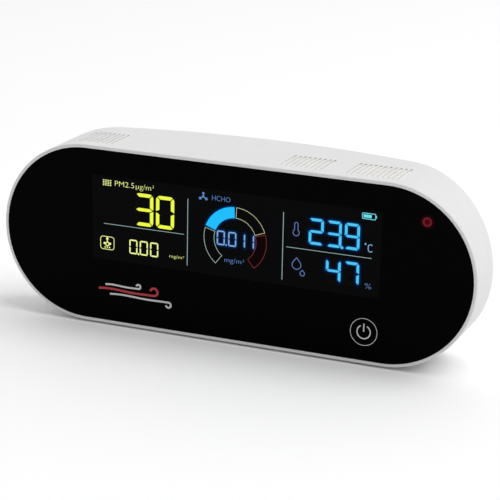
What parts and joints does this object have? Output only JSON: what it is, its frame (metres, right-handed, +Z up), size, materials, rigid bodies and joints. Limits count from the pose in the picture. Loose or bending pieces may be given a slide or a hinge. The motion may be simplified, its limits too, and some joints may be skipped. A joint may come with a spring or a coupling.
{
  "type": "air quality monitor",
  "caption": "Desktop air quality monitor: round-ended white body with a curved back, black touch panel with a lit segment display, top vents, charging port and inner sensors.",
  "frame": {"origin": "middle of the footprint box, on the surface that the pads stand on", "axes": "+X to the right seen from the front, +Y from the front panel to the back, +Z up"},
  "size_m": [0.204, 0.043, 0.0758],
  "materials": {
    "shell_white": "warm white ABS, fine satin grain",
    "panel_black": "gloss black, printed on the back of a clear acrylic sheet",
    "adhesive": "black foam-backed adhesive tape",
    "foot_rubber": "soft grey rubber, matte",
    "screen_cream": "woven pale dust screen",
    "inner_black": "black moulded ABS, fine grain",
    "lcd_glass": "segment display glass, dark when off",
    "diffuser": "white optical film",
    "light_guide": "clear acrylic light guide",
    "board_white": "white solder mask",
    "board_green": "green solder mask over glass fibre",
    "chip_black": "moulded epoxy and connector plastic",
    "contact_metal": "tinned spring steel",
    "screw_steel": "zinc-plated steel",
    "port_steel": "nickel-plated drawn steel",
    "led_red": "tinted clear epoxy",
    "cell_wrap": "blue shrink sleeve",
    "sensor_blue": "blue moulded sensor case",
    "brass_barrel": "turned brass",
    "motor_copper": "lacquered copper winding",
    "foam_grey": "closed-cell foam",
    "plug_white": "natural nylon connector",
    "lead_grey": "sleeved wires",
    "sensor_can": "pressed metal can",
    "display_yellow": "lit yellow-green segments",
    "display_sky": "lit sky-blue segments",
    "display_blue": "lit blue segments",
    "display_teal": "faint pale green-blue lines",
    "display_red": "faint red outline",
    "display_window": "the display area, a shade lighter than the panel",
    "key_print": "pale grey print behind the panel"
  },
  "bodies": {
    "root": {"back_cover": "shell_white", "backlight_strip": "board_white", "battery_cell": "cell_wrap", "battery_contact": "contact_metal", "battery_holder": "inner_black", "battery_spring": "contact_metal", "battery_spring_plate": "contact_metal", "board_parts": "chip_black", "board_screws": "screw_steel", "buzzer": "chip_black", "climate_sensor": "chip_black", "controller_chip": "chip_black", "cover_screws": "screw_steel", "diffuser_film": "diffuser", "foot_pads": "foot_rubber", "frame_screws": "screw_steel", "front_lens": "panel_black", "gas_sensor_board": "board_green", "gas_sensor_header": "chip_black", "hcho_sensor": "sensor_can", "lcd_frame": "inner_black", "lcd_panel": "lcd_glass", "lcd_pins": "contact_metal", "led_shroud": "inner_black", "left_vent_screen": "screen_cream", "lens_tape": "adhesive", "light_guide": "light_guide", "main_board": "board_green", "middle_vent_screen": "screen_cream", "pm_cable": "lead_grey", "pm_fan_motor": "motor_copper", "pm_laser_module": "brass_barrel", "pm_optics_block": "inner_black", "pm_photodiode": "chip_black", "pm_plug": "plug_white", "pm_sensor_board": "board_green", "pm_sensor_case": "sensor_blue", "pm_sensor_lid": "sensor_blue", "pm_sensor_seal": "foam_grey", "pm_sensor_tape": "foam_grey", "reflector_sheet": "diffuser", "right_vent_screen": "screen_cream", "shell": "shell_white", "status_led": "led_red", "touch_spring": "contact_metal", "tvoc_sensor": "sensor_can", "usb_board": "board_green", "usb_board_screws": "screw_steel", "usb_cable": "lead_grey", "usb_plug": "plug_white", "usb_port": "port_steel"},
    "fan": {"pm_fan_rotor": "inner_black", "pm_fan_shaft": "screw_steel"}
  },
  "joints": [
    {"name": "fan_spin", "type": "hinge", "parent": "root", "child": "fan", "pos_m": [0.053, -0.0006, 0.0543], "axis": [0, 1, 0], "continuous": true}
  ]
}
